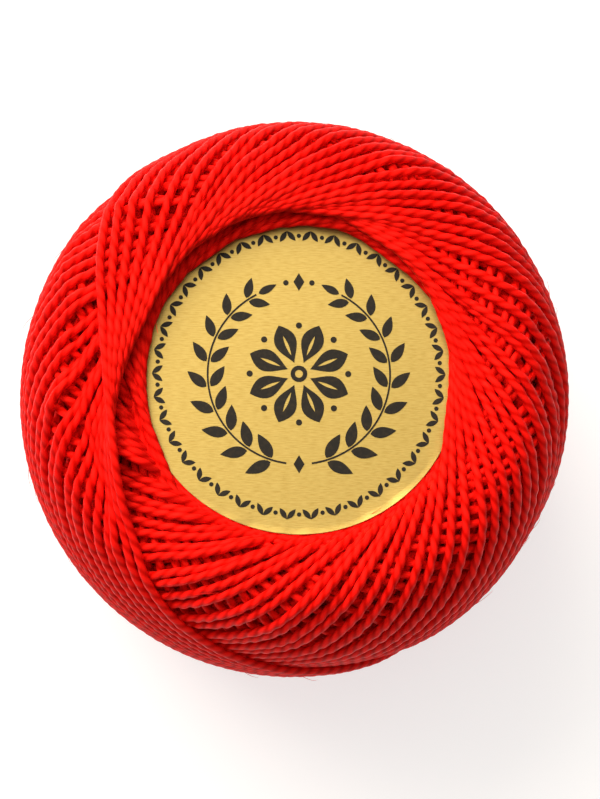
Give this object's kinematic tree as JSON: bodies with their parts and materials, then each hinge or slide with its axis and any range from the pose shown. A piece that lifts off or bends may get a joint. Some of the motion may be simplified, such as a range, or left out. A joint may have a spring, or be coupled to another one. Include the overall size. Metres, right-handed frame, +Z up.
{
  "type": "ball of pearl cotton thread",
  "caption": "Machine-wound ball of two-ply cotton thread with flat ends, full round sides and a round foil label sunk in the top end; rests on its bottom ring.",
  "frame": {"origin": "on the resting surface, at the bottom middle of the ball, on the winding axis", "axes": "+Z up along the winding axis, out of the labelled end; +Y towards the top of the label"},
  "size_m": [0.032, 0.032, 0.0251],
  "materials": {
    "thread": "mercerised two-ply pearl cotton, satin lustre, scarlet",
    "foil": "gold metallised paper, brushed satin, dark brown ornament"
  },
  "bodies": {
    "root": {"ball": "thread", "label": "foil"}
  },
  "joints": []
}
